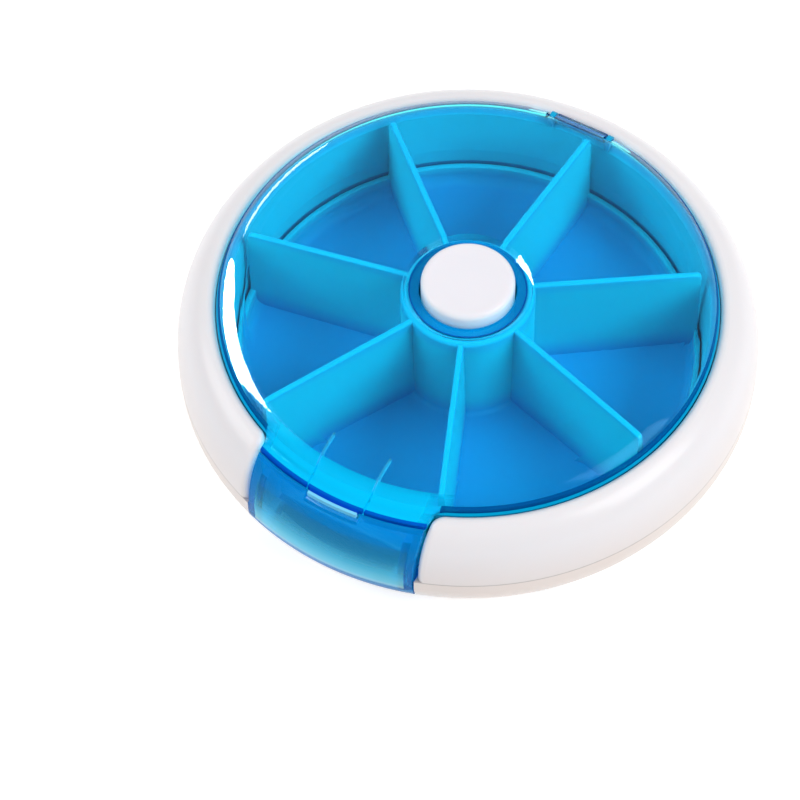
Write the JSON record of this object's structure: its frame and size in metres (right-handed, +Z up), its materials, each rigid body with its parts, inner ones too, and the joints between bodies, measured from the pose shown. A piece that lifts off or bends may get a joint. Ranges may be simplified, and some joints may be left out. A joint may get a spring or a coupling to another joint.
{
  "type": "rotating pill organizer",
  "caption": "Round weekly pill organizer: a clear hinged lid over a turning divided tray, a press button in the middle and a dispensing door at the front.",
  "frame": {"origin": "on the tray's turning axis, at the flat underside of the base", "axes": "+Z up along the turning axis, -Y towards the dispensing door, +Y towards the lid's hinge, +X to the right seen from the door"},
  "size_m": [0.09, 0.09, 0.0244],
  "materials": {
    "upper_shell": "smooth moulded white plastic, soft gloss",
    "base_shell": "smooth moulded white plastic, soft gloss",
    "inner_liner": "deep see-through blue plastic, polished",
    "pill_tray": "deep see-through blue plastic, polished",
    "ratchet_ring": "plain moulded blue plastic, soft gloss",
    "lid": "clear blue tinted plastic, polished",
    "lid_hinge_pin": "plain moulded blue plastic, soft gloss",
    "door": "clear blue tinted plastic, polished",
    "door_pins": "plain moulded blue plastic, soft gloss",
    "button_cap": "smooth moulded white plastic, soft gloss",
    "button_plunger": "plain moulded blue plastic, soft gloss",
    "drive_fingers": "plain acetal, matt",
    "return_spring": "drawn spring wire",
    "retaining_clip": "plain bright steel",
    "thrust_washer": "plain acetal, matt",
    "stop_washer": "zinc plated steel screw",
    "spindle_screw": "zinc plated steel screw",
    "index_spring": "drawn spring wire",
    "index_screw": "zinc plated steel screw",
    "case_screws": "zinc plated steel screw"
  },
  "bodies": {
    "housing": {"upper_shell": "upper_shell", "base_shell": "base_shell", "inner_liner": "inner_liner", "lid_hinge_pin": "lid_hinge_pin", "door_pins": "door_pins", "retaining_clip": "retaining_clip", "thrust_washer": "thrust_washer", "stop_washer": "stop_washer", "spindle_screw": "spindle_screw", "index_spring": "index_spring", "index_screw": "index_screw", "case_screws": "case_screws", "return_spring": "return_spring"},
    "tray": {"pill_tray": "pill_tray", "ratchet_ring": "ratchet_ring"},
    "button": {"button_cap": "button_cap", "button_plunger": "button_plunger", "drive_fingers": "drive_fingers"},
    "lid": {"lid": "lid"},
    "door": {"door": "door"}
  },
  "joints": [
    {"name": "tray_spin", "type": "hinge", "parent": "housing", "child": "tray", "pos_m": [0, 0, 0.0027], "axis": [0, 0, 1], "continuous": true, "deforming": ["index_spring"]},
    {"name": "button_press", "type": "slide", "parent": "housing", "child": "button", "axis": [0, 0, -1], "range_m": [0, 0.003], "stiffness_N_per_m": 600, "springref_m": -0.001, "deforming": ["return_spring", "drive_fingers"]},
    {"name": "lid_hinge", "type": "hinge", "parent": "housing", "child": "lid", "pos_m": [0, 0.0373, 0.0196], "axis": [-1, 0, 0], "range_deg": [0, 100]},
    {"name": "door_hinge", "type": "hinge", "parent": "housing", "child": "door", "pos_m": [0, -0.0405, 0.007], "axis": [1, 0, 0], "range_deg": [0, 70]}
  ]
}
